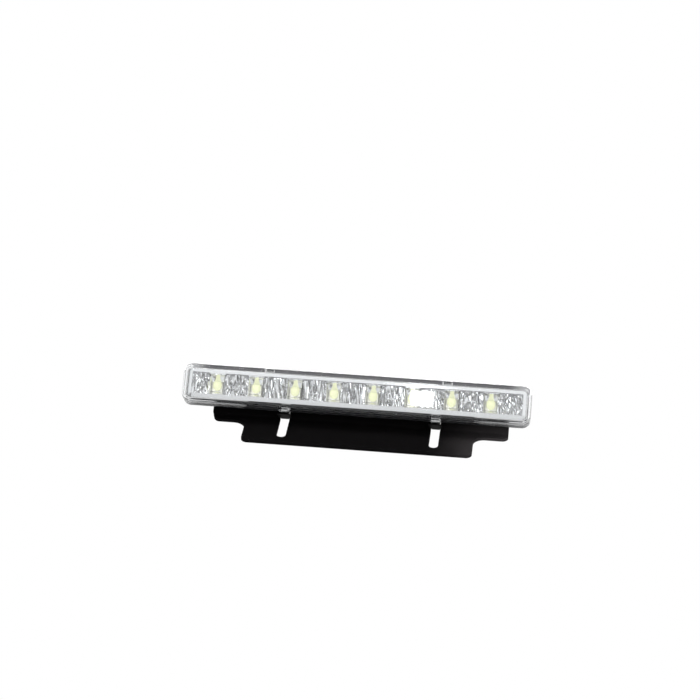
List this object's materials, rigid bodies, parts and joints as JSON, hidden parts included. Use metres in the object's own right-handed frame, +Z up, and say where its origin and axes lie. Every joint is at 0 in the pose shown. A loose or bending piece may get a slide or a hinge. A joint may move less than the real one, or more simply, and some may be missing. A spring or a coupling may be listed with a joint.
{
  "type": "daytime running light",
  "caption": "Slim daytime running light: clear rounded lens over a row of chromed light cups, carried on a black bent bracket with two long mounting slots.",
  "frame": {"origin": "middle of the row of two mounting slots, on the back face of the bracket's leaning part", "axes": "+X to the viewer's right along the lens, -Y the way the lamp shines, +Z up"},
  "size_m": [0.16, 0.0204, 0.0358],
  "materials": {
    "clear_polycarbonate": "clear gloss",
    "seal_rubber": "matt",
    "reflector_chrome": "vacuum metallised plastic",
    "board": "white solder mask",
    "led_body": "matt white",
    "phosphor": "yellow phosphor gel",
    "component_black": "matt",
    "housing_black": "fine grain",
    "insert_brass": "turned",
    "gland_rubber": "matt",
    "bracket_paint": "satin black powder coat",
    "screw_steel": "zinc plated"
  },
  "bodies": {
    "root": {"lens": "clear_polycarbonate", "lens_seal": "seal_rubber", "reflector": "reflector_chrome", "circuit_board": "board", "led_1": "led_body", "led_2": "led_body", "led_3": "led_body", "led_4": "led_body", "led_5": "led_body", "led_6": "led_body", "led_7": "led_body", "led_8": "led_body", "phosphor_1": "phosphor", "phosphor_2": "phosphor", "phosphor_3": "phosphor", "phosphor_4": "phosphor", "phosphor_5": "phosphor", "phosphor_6": "phosphor", "phosphor_7": "phosphor", "phosphor_8": "phosphor", "resistor_1": "component_black", "resistor_2": "component_black", "resistor_3": "component_black", "resistor_4": "component_black", "protection_diode": "component_black", "driver_chip": "component_black", "board_screws": "screw_steel", "housing": "housing_black", "cable_gland": "gland_rubber", "thread_inserts": "insert_brass", "bracket": "bracket_paint", "bracket_washers": "screw_steel", "bracket_screws": "screw_steel"}
  },
  "joints": []
}
